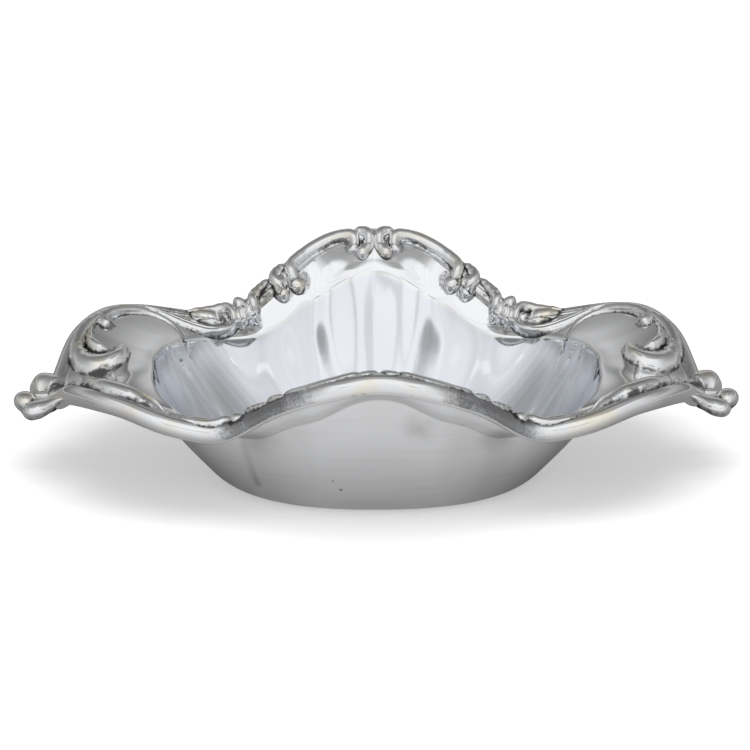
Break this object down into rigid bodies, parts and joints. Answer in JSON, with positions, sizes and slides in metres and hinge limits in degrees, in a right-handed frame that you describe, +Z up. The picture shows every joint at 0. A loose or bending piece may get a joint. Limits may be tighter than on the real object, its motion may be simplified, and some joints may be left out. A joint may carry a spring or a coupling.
{
  "type": "bonbon dish",
  "caption": "Low lobed oval bonbon dish of silver sheet with a wavy flange, applied scroll border and a palmette at each end.",
  "frame": {"origin": "middle of the flat bottom, on the surface that the dish stands on", "axes": "+X along the length, from palmette to palmette; +Y across the width; +Z up out of the bowl"},
  "size_m": [0.165, 0.1, 0.0414],
  "materials": {
    "polished_silver": "polished, worn",
    "cast_silver": "polished high points, darkened recesses"
  },
  "bodies": {
    "root": {"bowl": "polished_silver", "rim_roll_back_right": "cast_silver", "rim_roll_back_left": "cast_silver", "rim_roll_front_right": "cast_silver", "rim_roll_front_left": "cast_silver", "centre_volute_back_right": "cast_silver", "centre_volute_back_left": "cast_silver", "centre_volute_front_right": "cast_silver", "centre_volute_front_left": "cast_silver", "centre_scroll_back_right": "cast_silver", "centre_scroll_back_left": "cast_silver", "centre_scroll_front_right": "cast_silver", "centre_scroll_front_left": "cast_silver", "leaf_scroll_back_right": "cast_silver", "leaf_scroll_back_left": "cast_silver", "leaf_scroll_front_right": "cast_silver", "leaf_scroll_front_left": "cast_silver", "leaf_clasp_back_right": "cast_silver", "leaf_clasp_back_left": "cast_silver", "leaf_clasp_front_right": "cast_silver", "leaf_clasp_front_left": "cast_silver", "side_volute_back_right": "cast_silver", "side_volute_back_left": "cast_silver", "side_volute_front_right": "cast_silver", "side_volute_front_left": "cast_silver", "ear_scroll_back_right": "cast_silver", "ear_scroll_back_left": "cast_silver", "ear_scroll_front_right": "cast_silver", "ear_scroll_front_left": "cast_silver", "end_volute_back_right": "cast_silver", "end_volute_back_left": "cast_silver", "end_volute_front_right": "cast_silver", "end_volute_front_left": "cast_silver", "palmette_right": "cast_silver", "palmette_left": "cast_silver"}
  },
  "joints": []
}
